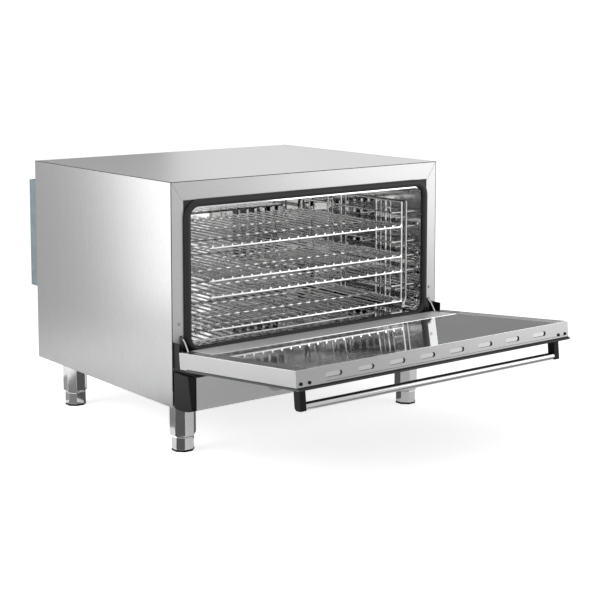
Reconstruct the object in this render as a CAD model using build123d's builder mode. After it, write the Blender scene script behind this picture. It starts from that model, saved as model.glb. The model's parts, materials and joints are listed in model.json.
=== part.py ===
from build123d import *
from math import cos, radians, sin
import os

os.makedirs("parts", exist_ok=True)

# A countertop convection oven, standing on four legs, its drop-down door open.
# Sizes are in millimetres. X runs to the right, Y to the back, Z up.
# Heights in the sections below are above the body's underside, depths are behind
# its front face, and both are turned into the part's own frame by the planes.

# Driving dimensions of the outer case
body_width = 838.0
body_height = 536.0
back_space = 76.0
leg_height = 122.0
sheet = 1.2
frame_thickness = 1.5
frame_return = 20.0
panel_flange = 15.0
flange_setback = 25.0
wiring_width = 346.0
wiring_bottom = 23.0
wiring_height = 46.0
pan_slot_count = 6
pan_slot_pitch = 40.0
pan_slot_row_pitch = 126.0
pan_slot_length = 90.0
pan_slot_width = 6.0
motor_hole_radius = 60.0

# Flats that stand for a round in small fittings, so that the model stays light
wire_sides = 4
bolt_sides = 6
post_sides = 8
small_sides = 12
large_sides = 24

# Mouth of the oven in the front frame
mouth_side = 35.0
mouth_bottom = 126.0
mouth_drop = 51.5
mitre_width = 0.8
mitre_depth = 0.5
mitre_overrun = 2.0

# Cooking chamber
chamber_side = 50.0
chamber_bottom = 140.0
chamber_drop = 66.0
chamber_depth = 600.0
chamber_corner = 25.0
liner_lap = 2.5
shaft_hole_clearance = 4.0
heater_hole_clearance = 0.3
insulation_side = 29.0
insulation_start = 70.0
seat_gap = 0.3

# Bulb seal round the mouth
seal_lap = 3.0
seal_width = 15.0
seal_stand = 9.5
seal_corner = 43.0
seal_round = 4.5
seal_root_gap = 0.3

# Door, hinged below its lower edge
door_side_gap = 1.0
door_top_rise = 4.0
door_depth = 39.0
door_sheet = 1.2
door_open_angle = 84.5
door_closed_gap = 10.0
pivot_along = 14.0
pivot_depth = 35.0
pivot_height = 104.0
door_margin = 36.0
door_lower_rail = 20.0
door_lip = 10.0
outer_glass_thickness = 4.0
outer_glass_start = 24.0
outer_glass_overhang = 6.5
outer_glass_inset = 1.0
inner_glass_thickness = 4.0
glass_clearance = 1.5
glass_shelf = 17.0
glass_seal_thickness = 1.2
vent_count = 8
vent_inset = 101.8
vent_length = 45.0
vent_height = 11.0
vent_corner = 3.2
edge_screw_insets = (12.0, 35.0)
edge_screw_depth = 29.0

# Handle on the door's outer glass
bar_radius = 9.0
bar_inset = 25.0
bar_stand = 39.4
bracket_inset = 19.0
bracket_width = 16.0
bracket_length = 21.0
bracket_stand = 48.0
bracket_corner = 9.0
spigot_radius = 6.0
spigot_length = 8.0

# Hinges
hinge_inset = 25.5
hinge_slot_width = 13.0
hinge_slot_bottom = 131.0
hinge_slot_height = 39.0
arm_thickness = 4.0
arm_height = 32.0
arm_reach = 40.0
arm_boss = 7.0
arm_heel = 3.5
arm_toe_rise = 2.3
arm_knee_reach = 15.0
arm_slot = 7.0
arm_slot_along = 92.0
hinge_pin_radius = 3.0
running_clearance = 0.05
cheek_gap = 0.5
cheek_thickness = 2.0
cheek_length = 172.0
cheek_boss = 6.0
web_start = 30.0
arm_shoulder_drop = 9.6
arm_nose = 6.3
receiver_depth = 44.0
receiver_height = 98.0
receiver_insets = (15.0, 31.7)
receiver_thickness = 2.0
receiver_pin_depth = 26.0
receiver_drop = 10.0
receiver_pin_overhang = 2.0
jamb_screw_inset = 20.5
jamb_screw_height = 199.0

# Control panel below the door
panel_stand = 81.0
panel_bottom = 8.0
panel_top = 86.5
cap_width = 14.0
cap_standoff = 7.0
cap_chamfer = 15.0
cap_heel = 2.0
cap_belly = 0.2
cap_belly_reach = 30.0
cap_rise = 1.0
cap_tongue = 7.0
cap_tongue_inset = 8.0
guard_inset = 3.0
guard_thickness = 2.5
guard_depth = 26.0
guard_bottom = 95.0
guard_top = 157.0
guard_slot_along = 76.0
knob_offset = 173.0
knob_height = 46.0
knob_skirt_radius = 26.0
knob_skirt_thickness = 3.0
knob_grip_radius = 19.0
knob_grip_depth = 20.0
spindle_radius = 3.0
spindle_hole_clearance = 0.6
spindle_reach = 18.0
control_depth = 30.0
thermostat_width = 45.0
thermostat_height = 36.0
timer_radius = 22.5
lamp_offset = 60.0
indicator_radius = 5.0
indicator_body_radius = 7.0
indicator_body_length = 15.0
indicator_stand = 2.5
indicator_bevel = 1.5

# Racks and the wire frames that carry them
rack_side_gap = 29.0
front_bar_inset = 26.5
rack_front = 3.0
rack_back_gap = 51.0
rack_wire = 3.2
rack_bar_front = 8.0
rack_bar_end_gap = 15.0
rack_bar_count = 4
middle_wire = 2.5
cross_wire = 2.4
cross_wire_count = 22
cross_wire_inset = 6.0
cross_wire_lift = 4.6
rail_inset = 3.5
rail_front = 60.0
rail_end_gap = 3.0
rail_drop = 5.9
rack_first_rise = 29.0
ledge_margin = 90.0
ledge_count = 7
rack_ledges = (0, 2, 3, 5)
ledge_wire = 2.6
ledge_reach = 33.0
upright_wire = 3.2
upright_gap = 8.0
upright_fronts = (71.0, 136.0, 176.0)
upright_setbacks = (171.0, 111.0, 25.0)
upright_rise = 13.0
upright_drop = 46.5
stand_off_radius = 2.4
stand_off_rise = 38.0
stand_off_drop = 68.0
stand_off_pad = 8.0

# Fans, heaters and the baffle in front of them
baffle_setback = 100.0
baffle_flange = 14.0
intake_slots = 6
intake_slot_width = 20.0
intake_slot_height = 150.0
intake_slot_pitch = 28.0
outlet_slot_width = 18.0
outlet_slot_gap = 20.0
outlet_slot_margin = 18.0
outlet_slot_inset = 23.0
outlet_slot_count = 3
baffle_corner = 22.0
baffle_flange_inset = 37.5
fan_inset = 184.0
fan_setback = 80.0
fan_radius = 80.0
fan_inner_radius = 44.0
fan_width = 36.0
fan_plate = 1.5
fan_blades = 10
blade_angle = 35.0
blade_width = 34.5
fan_hub_radius = 12.0
fan_hub_length = 18.0
shaft_radius = 4.0
shaft_setback = 88.0
shaft_reach = 50.0
motor_radius = 45.0
motor_stand = 36.0
motor_length = 68.0
motor_neck_radius = 16.0
motor_plate = 104.0
motor_plate_thickness = 2.0
heater_radius = 104.0
heater_wire = 4.0
heater_setback = 60.0
heater_sides = 16
heater_leg_reach = 22.0

# Small fittings
probe_radius = 3.0
probe_length = 130.0
probe_setback = 30.0
probe_drop = 12.0
clip_width = 6.0
clip_depth = 3.0
light_drop = 88.0
light_lens_radius = 28.0
light_lens_thickness = 7.0
light_hole_radius = 20.0
light_holder_radius = 23.0
light_holder_length = 34.0
bulb_radius = 9.0
bulb_length = 26.0
bulb_bevel = 5.0
lens_bevel = 3.5
gland_inset = 89.0
gland_height = 60.0
gland_bore = 7.0
gland_thread_radius = 10.0
gland_hex = 14.0
gland_hex_thickness = 6.0
gland_nut_radius = 12.0
gland_nut_length = 20.0
gland_inside = 12.0
gland_bevel = 3.0
gland_hole_clearance = 0.2

# Rear cover
cover_inset = 10.0
cover_clearance = 26.0
cover_bottom = 190.0
cover_drop = 56.0
cover_flange = 12.0
louvre_count = 9
louvre_pitch = 20.0
louvre_width = 6.0
louvre_length = 90.0

# Legs
leg_flats = 60.0
leg_post = 77.0
leg_side_inset = 58.8
leg_front_inset = 48.5
leg_back_inset = 95.5
foot_flats = 52.0
foot_stem_radius = 8.0
foot_stem_length = 38.0
foot_flange_height = 6.0
stem_clearance = 0.1
stud_radius = 5.0
stud_length = 14.0
nut_flats = 17.0
nut_height = 8.0
stud_clearance = 0.3

# Screws
screw_radius = 2.0
screw_head_radius = 4.0
screw_head_height = 2.0
screw_length = 10.0
screw_clearance = 0.2
back_screw_rise = 30.0
back_screw_drop = 36.0

# Places worked out from the dimensions above
half_width = body_width / 2
inner_half = half_width - sheet
body_depth = chamber_depth + back_space
mouth_width = body_width - 2 * mouth_side
mouth_half = mouth_width / 2
mouth_top = body_height - mouth_drop
mouth_middle = (mouth_bottom + mouth_top) / 2
mouth_height = mouth_top - mouth_bottom
chamber_width = body_width - 2 * chamber_side
chamber_half = chamber_width / 2
chamber_top = body_height - chamber_drop
chamber_height = chamber_top - chamber_bottom
chamber_middle = (chamber_bottom + chamber_top) / 2
door_width = body_width - 2 * door_side_gap
door_half = door_width / 2
door_length = body_height + door_top_rise - pivot_height + pivot_along
vent_pitch = (door_width - 2 * vent_inset) / (vent_count - 1)
window_half = door_half - door_margin
glass_outer = door_depth + outer_glass_thickness
bar_along = door_length - bar_inset
bar_depth = glass_outer + bar_stand
baffle_depth = chamber_depth - baffle_setback
baffle_flange_width = chamber_width - 2 * baffle_flange_inset
outlet_slot_pitch = (chamber_height - outlet_slot_margin) / outlet_slot_count
outlet_slot_height = outlet_slot_pitch - outlet_slot_gap
outlet_slot_offset = chamber_half - outlet_slot_inset
fan_offset = chamber_half - fan_inset
fan_height = chamber_middle
fan_front = chamber_depth - fan_setback
shaft_front = chamber_depth - shaft_setback
shaft_back = chamber_depth + shaft_reach
motor_front = chamber_depth + motor_stand
motor_back = motor_front + motor_length
heater_plane = chamber_depth - heater_setback
heater_leg_back = chamber_depth + heater_leg_reach
cover_depth = motor_back + cover_clearance - body_depth
cover_top = body_height - cover_drop
back_screw_heights = (back_screw_rise, body_height - back_screw_drop)
gland_x = gland_inset - half_width
upright_offset = chamber_half - upright_gap
upright_depths = upright_fronts + tuple(baffle_depth - gap for gap in upright_setbacks)
upright_bottom = chamber_bottom + upright_rise
upright_top = chamber_top - upright_drop
stand_off_heights = (chamber_bottom + stand_off_rise, chamber_top - stand_off_drop)
rack_width = 2 * (upright_offset - rack_side_gap)
front_bar_width = rack_width - 2 * front_bar_inset
rack_depth = baffle_depth - rack_back_gap - rack_front
rack_bar_back = rack_front + rack_depth - rack_bar_end_gap
rack_bar_pitch = (rack_bar_back - rack_bar_front) / (rack_bar_count - 1)
rail_back = rack_front + rack_depth - rail_end_gap
rack_first_height = chamber_bottom + rack_first_rise
ledge_pitch = (chamber_height - ledge_margin) / (ledge_count - 1)
probe_depth = baffle_depth - probe_setback
light_depth = (upright_depths[2] + upright_depths[3]) / 2
light_height = chamber_top - light_drop
hinge_x = half_width - hinge_inset
jamb_screw_x = half_width - jamb_screw_inset
tilt = radians(90 - door_open_angle)
pivot_y = -door_closed_gap - pivot_depth
corner_y = pivot_y + pivot_along * cos(tilt) + pivot_depth * sin(tilt)
corner_z = pivot_height - pivot_along * sin(tilt) + pivot_depth * cos(tilt)
glass_end = door_length + outer_glass_overhang
furthest_front = corner_y - glass_end * cos(tilt) - glass_outer * sin(tilt)
furthest_back = body_depth + cover_depth
screw_hole = screw_radius + screw_clearance
pin_hole = hinge_pin_radius + running_clearance
shaft_hole = shaft_radius + running_clearance
front_y = -(furthest_front + furthest_back) / 2
sides = ((-1, "left"), (1, "right"))
heater_legs = (-1, 1)
heater_leg_x = heater_radius * sin(radians(180 / heater_sides))
heater_leg_height = fan_height - heater_radius * cos(radians(180 / heater_sides))
along = Vector(0, -cos(tilt), sin(tilt))
outward = Vector(0, -sin(tilt), -cos(tilt))
door_corner = Vector(0, front_y + corner_y, leg_height + corner_z)
leg_places = [
    (side * (half_width - leg_side_inset), depth)
    for depth in (leg_front_inset, body_depth - leg_back_inset)
    for side, word in sides
]


def level(height):
    """Horizontal plane at a height above the body's underside."""
    return Plane(origin=(0, front_y, leg_height + height))


def facing(depth):
    """Upright plane behind the front face; it extrudes towards the front."""
    return Plane(origin=(0, front_y + depth, leg_height), x_dir=(1, 0, 0), z_dir=(0, -1, 0))


def across(x):
    """Upright plane from front to back; it extrudes to the right."""
    return Plane(origin=(x, front_y, leg_height), x_dir=(0, 1, 0), z_dir=(1, 0, 0))


def door_face(depth):
    """Plane of the open door at a depth from its inner face; it extrudes outward."""
    return Plane(origin=door_corner + outward * depth, x_dir=(1, 0, 0), z_dir=outward)


def door_edge(distance):
    """Plane across the open door, so far from its hinged edge; it extrudes back to it."""
    return Plane(origin=door_corner + along * distance, x_dir=(1, 0, 0), z_dir=along * -1)


def door_side(x):
    """Plane down the open door's side: along the door, then outward."""
    return Plane(origin=door_corner + Vector(x, 0, 0), x_dir=along, z_dir=(1, 0, 0))


def save(solid, name):
    solid.label = name
    export_step(solid, "parts/" + name + ".step")


# Outer case
with BuildPart() as top_panel:
    with BuildSketch(level(body_height - sheet)):
        with Locations((0, body_depth / 2)):
            Rectangle(body_width, body_depth)
    extrude(amount=sheet)
save(top_panel.part, "top_panel")

flange_length = body_depth - sheet - flange_setback
frame_height = body_height - sheet
for side, word in sides:
    with BuildPart() as side_panel:
        with BuildSketch(facing(body_depth)):
            with Locations((side * (half_width - sheet / 2), frame_height / 2)):
                Rectangle(sheet, frame_height)
        extrude(amount=body_depth)
        with BuildSketch(facing(flange_setback + flange_length)):
            for height in (1.5 * sheet, body_height - 1.5 * sheet):
                with Locations((side * (inner_half - panel_flange / 2), height)):
                    Rectangle(panel_flange, sheet)
        extrude(amount=flange_length)
        with BuildSketch(facing(body_depth - sheet)):
            with Locations((side * (inner_half - panel_flange / 2), frame_height / 2)):
                Rectangle(panel_flange, frame_height - 2 * sheet)
            for height in back_screw_heights:
                with Locations((side * (inner_half - panel_flange / 2), height)):
                    RegularPolygon(screw_hole, bolt_sides, False, mode=Mode.SUBTRACT)
        extrude(amount=sheet)
    save(side_panel.part, "side_panel_" + word)

with BuildPart() as front_frame:
    with BuildSketch(facing(frame_thickness)):
        with Locations((0, frame_height / 2)):
            Rectangle(2 * inner_half, frame_height)
        with Locations((0, mouth_middle)):
            Rectangle(mouth_width, mouth_height, mode=Mode.SUBTRACT)
        for side, word in sides:
            with Locations((side * hinge_x, hinge_slot_bottom + hinge_slot_height / 2)):
                Rectangle(hinge_slot_width, hinge_slot_height, mode=Mode.SUBTRACT)
            with Locations((side * jamb_screw_x, jamb_screw_height)):
                RegularPolygon(screw_hole, bolt_sides, False, mode=Mode.SUBTRACT)
        with Locations((0, wiring_bottom + wiring_height / 2)):
            Rectangle(wiring_width, wiring_height, mode=Mode.SUBTRACT)
    extrude(amount=frame_thickness)
    with BuildSketch(facing(frame_return)):
        with Locations((0, (sheet + frame_height) / 2)):
            Rectangle(2 * inner_half, frame_height - sheet)
        with Locations((0, frame_height / 2)):
            Rectangle(2 * (inner_half - sheet), frame_height - 2 * sheet, mode=Mode.SUBTRACT)
    extrude(amount=frame_return - frame_thickness)
    with BuildSketch(facing(0)):
        for side, word in sides:
            with BuildLine():
                seam = Line((side * mouth_half, mouth_top), (side * inner_half, frame_height))
            middle = seam @ 0.5
            with Locations(Location((middle.X, middle.Y), seam.tangent_angle_at(0.5))):
                Rectangle(seam.length + 2 * mitre_overrun, mitre_width)
    extrude(amount=-mitre_depth, mode=Mode.SUBTRACT)
save(front_frame.part, "front_frame")

with BuildPart() as base_pan:
    with BuildSketch(level(0)):
        with Locations((0, (body_depth + frame_thickness) / 2)):
            Rectangle(2 * inner_half, body_depth - frame_thickness)
        with Locations(*leg_places):
            RegularPolygon(stud_radius + stud_clearance, post_sides, False, mode=Mode.SUBTRACT)
        with Locations((0, body_depth / 2)):
            with GridLocations(pan_slot_pitch, pan_slot_row_pitch, pan_slot_count, 2):
                Rectangle(pan_slot_width, pan_slot_length, mode=Mode.SUBTRACT)
    extrude(amount=sheet)
save(base_pan.part, "base_pan")

with BuildPart() as back_panel:
    with BuildSketch(facing(body_depth)):
        with Locations((0, (sheet + frame_height) / 2)):
            Rectangle(2 * inner_half, frame_height - sheet)
        for side, word in sides:
            with Locations((side * fan_offset, fan_height)):
                RegularPolygon(motor_hole_radius, large_sides, False, mode=Mode.SUBTRACT)
            for height in back_screw_heights:
                with Locations((side * (inner_half - panel_flange / 2), height)):
                    RegularPolygon(screw_hole, bolt_sides, False, mode=Mode.SUBTRACT)
        with Locations((gland_x, gland_height)):
            gland_hole = gland_thread_radius + gland_hole_clearance
            RegularPolygon(gland_hole, small_sides, False, mode=Mode.SUBTRACT)
    extrude(amount=sheet)
save(back_panel.part, "back_panel")

cover_half = half_width - cover_inset
cover_height = cover_top - cover_bottom
with BuildPart() as rear_cover:
    with BuildSketch(facing(body_depth + cover_depth)):
        with Locations((0, (cover_bottom + cover_top) / 2)):
            Rectangle(2 * cover_half, cover_height)
    extrude(amount=cover_depth)
    with BuildSketch(facing(body_depth + cover_depth - sheet)):
        with Locations((0, (cover_bottom + cover_top) / 2)):
            Rectangle(2 * (cover_half - sheet), cover_height - 2 * sheet)
    extrude(amount=cover_depth - 2 * sheet, mode=Mode.SUBTRACT)
    with BuildSketch(facing(body_depth + sheet)):
        with Locations((0, (cover_bottom + cover_top) / 2)):
            Rectangle(2 * (cover_half - cover_flange), cover_height - 2 * cover_flange)
    extrude(amount=sheet, mode=Mode.SUBTRACT)
    with BuildSketch(facing(body_depth + cover_depth)):
        for side, word in sides:
            with Locations((side * fan_offset, (cover_bottom + cover_top) / 2)):
                with GridLocations(louvre_pitch, 0, louvre_count, 1):
                    Rectangle(louvre_width, louvre_length)
    extrude(amount=sheet, mode=Mode.SUBTRACT)
save(rear_cover.part, "rear_cover")

# Cooking chamber
with BuildPart() as cavity_liner:
    with BuildSketch(facing(chamber_depth + sheet)):
        with Locations((0, chamber_middle)):
            RectangleRounded(
                chamber_width + 2 * sheet, chamber_height + 2 * sheet, chamber_corner + sheet
            )
    extrude(amount=chamber_depth + sheet - frame_thickness)
    with BuildSketch(facing(frame_thickness + sheet)):
        with Locations((0, mouth_middle)):
            Rectangle(mouth_width + 2 * liner_lap, mouth_height + 2 * liner_lap)
    extrude(amount=sheet)
    with BuildSketch(facing(chamber_depth)):
        with Locations((0, chamber_middle)):
            RectangleRounded(chamber_width, chamber_height, chamber_corner)
    extrude(amount=chamber_depth - frame_thickness, mode=Mode.SUBTRACT)
    with BuildSketch(facing(chamber_depth + sheet)):
        for side, word in sides:
            with Locations((side * fan_offset, fan_height)):
                RegularPolygon(shaft_radius + shaft_hole_clearance, post_sides, False)
            for leg in heater_legs:
                with Locations((side * fan_offset + leg * heater_leg_x, heater_leg_height)):
                    RegularPolygon(heater_wire + heater_hole_clearance, post_sides, False)
    extrude(amount=sheet, mode=Mode.SUBTRACT)
    with BuildSketch(across(-chamber_half - sheet)):
        with Locations((light_depth, light_height)):
            RegularPolygon(light_hole_radius, small_sides)
    extrude(amount=sheet, mode=Mode.SUBTRACT)
save(cavity_liner.part, "cavity_liner")

seal_outer_width = mouth_width + 2 * seal_lap
seal_outer_height = mouth_height + 2 * seal_lap
with BuildPart() as door_gasket:
    with BuildSketch(facing(0)):
        with Locations((0, mouth_middle)):
            RectangleRounded(seal_outer_width, seal_outer_height, seal_corner)
            RectangleRounded(
                seal_outer_width - 2 * seal_width,
                seal_outer_height - 2 * seal_width,
                seal_corner - seal_width,
                mode=Mode.SUBTRACT,
            )
    extrude(amount=seal_stand)
    front = door_gasket.faces().sort_by(Axis.Y)[0]
    chamfer(front.edges(), seal_round)
    with BuildSketch(facing(frame_thickness)):
        with Locations((0, mouth_middle)):
            RectangleRounded(
                mouth_width - 2 * seal_root_gap, mouth_height - 2 * seal_root_gap, seal_corner - seal_lap
            )
            RectangleRounded(
                seal_outer_width - 2 * seal_width,
                seal_outer_height - 2 * seal_width,
                seal_corner - seal_width,
                mode=Mode.SUBTRACT,
            )
    extrude(amount=frame_thickness)
save(door_gasket.part, "door_gasket")

with BuildPart() as insulation_blanket:
    with BuildSketch(facing(chamber_depth)):
        with Locations((0, chamber_middle)):
            Rectangle(
                chamber_width + 2 * (sheet + insulation_side),
                chamber_height + 2 * (sheet + insulation_side),
            )
            Rectangle(
                chamber_width + 2 * (sheet + seat_gap),
                chamber_height + 2 * (sheet + seat_gap),
                mode=Mode.SUBTRACT,
            )
    extrude(amount=chamber_depth - insulation_start)
    with BuildSketch(across(-chamber_half - sheet - insulation_side)):
        with Locations((light_depth, light_height)):
            RegularPolygon(light_holder_radius + seat_gap, small_sides, False)
    extrude(amount=insulation_side, mode=Mode.SUBTRACT)
save(insulation_blanket.part, "insulation_blanket")

# Baffle with a fan intake on each side and discharge slots beside the walls
baffle_height = chamber_height - 2 * seat_gap
with BuildPart() as fan_baffle:
    with BuildSketch(facing(baffle_depth + sheet)):
        with Locations((0, chamber_middle)):
            plate = Rectangle(chamber_width - 2 * seat_gap, baffle_height)
        chamfer(plate.vertices(), baffle_corner)
        for side, word in sides:
            with Locations((side * fan_offset, fan_height)):
                with GridLocations(intake_slot_pitch, 0, intake_slots, 1):
                    Rectangle(intake_slot_width, intake_slot_height, mode=Mode.SUBTRACT)
            with Locations((side * outlet_slot_offset, chamber_middle)):
                with GridLocations(0, outlet_slot_pitch, 1, outlet_slot_count):
                    Rectangle(outlet_slot_width, outlet_slot_height, mode=Mode.SUBTRACT)
    extrude(amount=sheet)
    with BuildSketch(facing(baffle_depth + baffle_flange)):
        for height in (chamber_middle - baffle_height / 2, chamber_middle + baffle_height / 2 - sheet):
            with Locations((0, height + sheet / 2)):
                Rectangle(baffle_flange_width, sheet)
    extrude(amount=baffle_flange - sheet)
save(fan_baffle.part, "fan_baffle")

# Fans on their shafts, motors behind the chamber and a heating element round each fan
for side, word in sides:
    fan_x = side * fan_offset
    with BuildPart() as fan:
        with BuildSketch(facing(fan_front + fan_width)):
            with Locations((fan_x, fan_height)):
                RegularPolygon(fan_radius, large_sides)
                RegularPolygon(shaft_hole, small_sides, False, mode=Mode.SUBTRACT)
        extrude(amount=fan_plate)
        with BuildSketch(facing(fan_front + fan_width - fan_plate)):
            with Locations((fan_x, fan_height)):
                RegularPolygon(fan_hub_radius, small_sides)
                RegularPolygon(shaft_hole, small_sides, False, mode=Mode.SUBTRACT)
        extrude(amount=fan_hub_length)
        with BuildSketch(facing(fan_front + fan_width - fan_plate)):
            with Locations((fan_x, fan_height)):
                with PolarLocations((fan_inner_radius + fan_radius) / 2, fan_blades):
                    Rectangle(blade_width, fan_plate, rotation=side * blade_angle)
        extrude(amount=fan_width - fan_plate)
    save(fan.part, "fan_" + word)

    with BuildPart() as fan_shaft:
        with BuildSketch(facing(shaft_back)):
            with Locations((fan_x, fan_height)):
                Circle(shaft_radius)
        extrude(amount=shaft_back - shaft_front)
    save(fan_shaft.part, "fan_shaft_" + word)

    with BuildPart() as fan_motor:
        plate_back = chamber_depth + sheet + motor_plate_thickness
        with BuildSketch(facing(plate_back)):
            with Locations((fan_x, fan_height)):
                Rectangle(motor_plate, motor_plate)
        extrude(amount=motor_plate_thickness)
        with BuildSketch(facing(motor_front)):
            with Locations((fan_x, fan_height)):
                RegularPolygon(motor_neck_radius, small_sides)
        extrude(amount=motor_front - plate_back)
        with BuildSketch(facing(motor_back)):
            with Locations((fan_x, fan_height)):
                RegularPolygon(motor_radius, large_sides)
        extrude(amount=motor_back - motor_front)
        with BuildSketch(facing(shaft_back + seat_gap)):
            with Locations((fan_x, fan_height)):
                RegularPolygon(shaft_hole, small_sides, False)
        extrude(amount=motor_back, mode=Mode.SUBTRACT)
    save(fan_motor.part, "fan_motor_" + word)

    with BuildPart() as heating_element:
        turn = 360 / heater_sides
        ring = [
            (
                fan_x + heater_radius * cos(radians(-90 + turn * (step + 0.5))),
                front_y + heater_plane,
                leg_height + fan_height + heater_radius * sin(radians(-90 + turn * (step + 0.5))),
            )
            for step in range(heater_sides)
        ]
        back = front_y + heater_leg_back
        with BuildLine() as route:
            Polyline(
                (ring[0][0], back, ring[0][2]), *ring, (ring[-1][0], back, ring[-1][2])
            )
        with BuildSketch(Plane(origin=route.line @ 0, x_dir=(1, 0, 0), z_dir=(0, -1, 0))):
            RegularPolygon(heater_wire, wire_sides)
        sweep(path=route.line, transition=Transition.RIGHT)
    save(heating_element.part, "heating_element_" + word)

# Thermostat bulb under the chamber's ceiling, and the light in its left wall
with BuildPart() as thermostat_probe:
    with BuildSketch(across(-probe_length / 2)):
        with Locations((probe_depth, chamber_top - probe_drop)):
            RegularPolygon(probe_radius, post_sides)
    extrude(amount=probe_length)
    clip_height = probe_drop - seat_gap
    with BuildSketch(level(chamber_top - probe_drop)):
        with Locations((0, probe_depth)):
            with GridLocations(probe_length / 2, 0, 2, 1):
                Rectangle(clip_width, clip_depth)
    extrude(amount=clip_height)
save(thermostat_probe.part, "thermostat_probe")

with BuildPart() as lamp_holder:
    with BuildSketch(across(-chamber_half - sheet - seat_gap)):
        with Locations((light_depth, light_height)):
            RegularPolygon(light_holder_radius, small_sides)
    extrude(amount=-light_holder_length)
    with BuildSketch(across(-chamber_half - sheet - seat_gap)):
        with Locations((light_depth, light_height)):
            RegularPolygon(light_hole_radius, small_sides)
    extrude(amount=-light_holder_length + 2 * sheet, mode=Mode.SUBTRACT)
save(lamp_holder.part, "lamp_holder")

with BuildPart() as lamp_bulb:
    bulb_back = -chamber_half - sheet - light_holder_length + 2 * sheet
    with BuildSketch(across(bulb_back)):
        with Locations((light_depth, light_height)):
            RegularPolygon(bulb_radius, small_sides)
    extrude(amount=bulb_length)
    chamfer(lamp_bulb.faces().sort_by(Axis.X)[-1].edges(), bulb_bevel)
save(lamp_bulb.part, "lamp_bulb")

with BuildPart() as lamp_lens:
    with BuildSketch(across(-chamber_half + seat_gap)):
        with Locations((light_depth, light_height)):
            RegularPolygon(light_lens_radius, large_sides)
    extrude(amount=light_lens_thickness)
    chamfer(lamp_lens.faces().sort_by(Axis.X)[-1].edges(), lens_bevel)
save(lamp_lens.part, "lamp_lens")

# Racks: bars across the oven under thin wires from front to back. A rail hangs at
# each side under the longer bars and slides on the ledge. The wires are welded to
# the first and last bar and pass just above the thinner middle bars.
bar_depths = [rack_bar_front + rack_bar_pitch * step for step in range(rack_bar_count)]
cross_span = front_bar_width - 2 * cross_wire_inset
cross_pitch = cross_span / (cross_wire_count - 1)
rail_x = rack_width / 2 - rail_inset
for number, ledge in enumerate(rack_ledges, 1):
    rack_height = rack_first_height + ledge * ledge_pitch
    with BuildPart() as rack:
        with BuildSketch(across(-front_bar_width / 2)):
            with Locations((bar_depths[0], rack_height)):
                RegularPolygon(rack_wire, wire_sides)
        extrude(amount=front_bar_width)
        with BuildSketch(across(-rack_width / 2)):
            middle_height = rack_height - rack_wire + middle_wire
            with Locations(*[(depth, middle_height) for depth in bar_depths[1:-1]]):
                RegularPolygon(middle_wire, wire_sides)
            with Locations((bar_depths[-1], rack_height)):
                RegularPolygon(rack_wire, wire_sides)
        extrude(amount=rack_width)
        with BuildSketch(facing(rack_front + rack_depth)):
            with Locations((0, rack_height + cross_wire_lift)):
                with GridLocations(cross_pitch, 0, cross_wire_count, 1):
                    RegularPolygon(cross_wire, wire_sides)
        extrude(amount=rack_depth)
        with BuildSketch(facing(rail_back)):
            with Locations((-rail_x, rack_height - rail_drop), (rail_x, rack_height - rail_drop)):
                RegularPolygon(rack_wire, wire_sides)
        extrude(amount=rail_back - rail_front)
    save(rack.part, "rack_" + str(number))

# Wire frames at the sides: uprights, and a U-shaped ledge at each level
ledge_drop = rail_drop + rack_wire + seat_gap + ledge_wire
ledge_heights = [
    rack_first_height - ledge_drop + ledge_pitch * step for step in range(ledge_count)
]
first_upright = upright_depths[0]
last_upright = upright_depths[-1]
for side, word in sides:
    outer_x = side * upright_offset
    ledge_x = side * (upright_offset - ledge_reach)
    with BuildPart() as rack_support:
        with BuildSketch(level(upright_bottom)):
            with Locations(*[(outer_x, depth) for depth in upright_depths]):
                RegularPolygon(upright_wire, wire_sides)
        extrude(amount=upright_top - upright_bottom)
        with BuildSketch(facing(last_upright + ledge_wire)):
            with Locations(*[(ledge_x, height) for height in ledge_heights]):
                RegularPolygon(ledge_wire, wire_sides)
            with Locations((outer_x, upright_bottom), (outer_x, upright_top)):
                RegularPolygon(ledge_wire, wire_sides)
        extrude(amount=last_upright - first_upright + 2 * ledge_wire)
        with BuildSketch(across(min(ledge_x, outer_x))):
            for depth in (first_upright, last_upright):
                with Locations(*[(depth, height) for height in ledge_heights]):
                    RegularPolygon(ledge_wire, wire_sides)
        extrude(amount=ledge_reach)
        wall = side * (chamber_half - seat_gap)
        with BuildSketch(across(min(outer_x, wall))):
            for depth in (upright_depths[1], upright_depths[-2]):
                for height in stand_off_heights:
                    with Locations((depth, height)):
                        RegularPolygon(stand_off_radius, wire_sides)
        extrude(amount=abs(wall - outer_x))
        with BuildSketch(across(min(wall, wall - side * sheet))):
            for depth in (upright_depths[1], upright_depths[-2]):
                for height in stand_off_heights:
                    with Locations((depth, height)):
                        RegularPolygon(stand_off_pad, bolt_sides)
        extrude(amount=sheet)
    save(rack_support.part, "rack_support_" + word)

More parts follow.
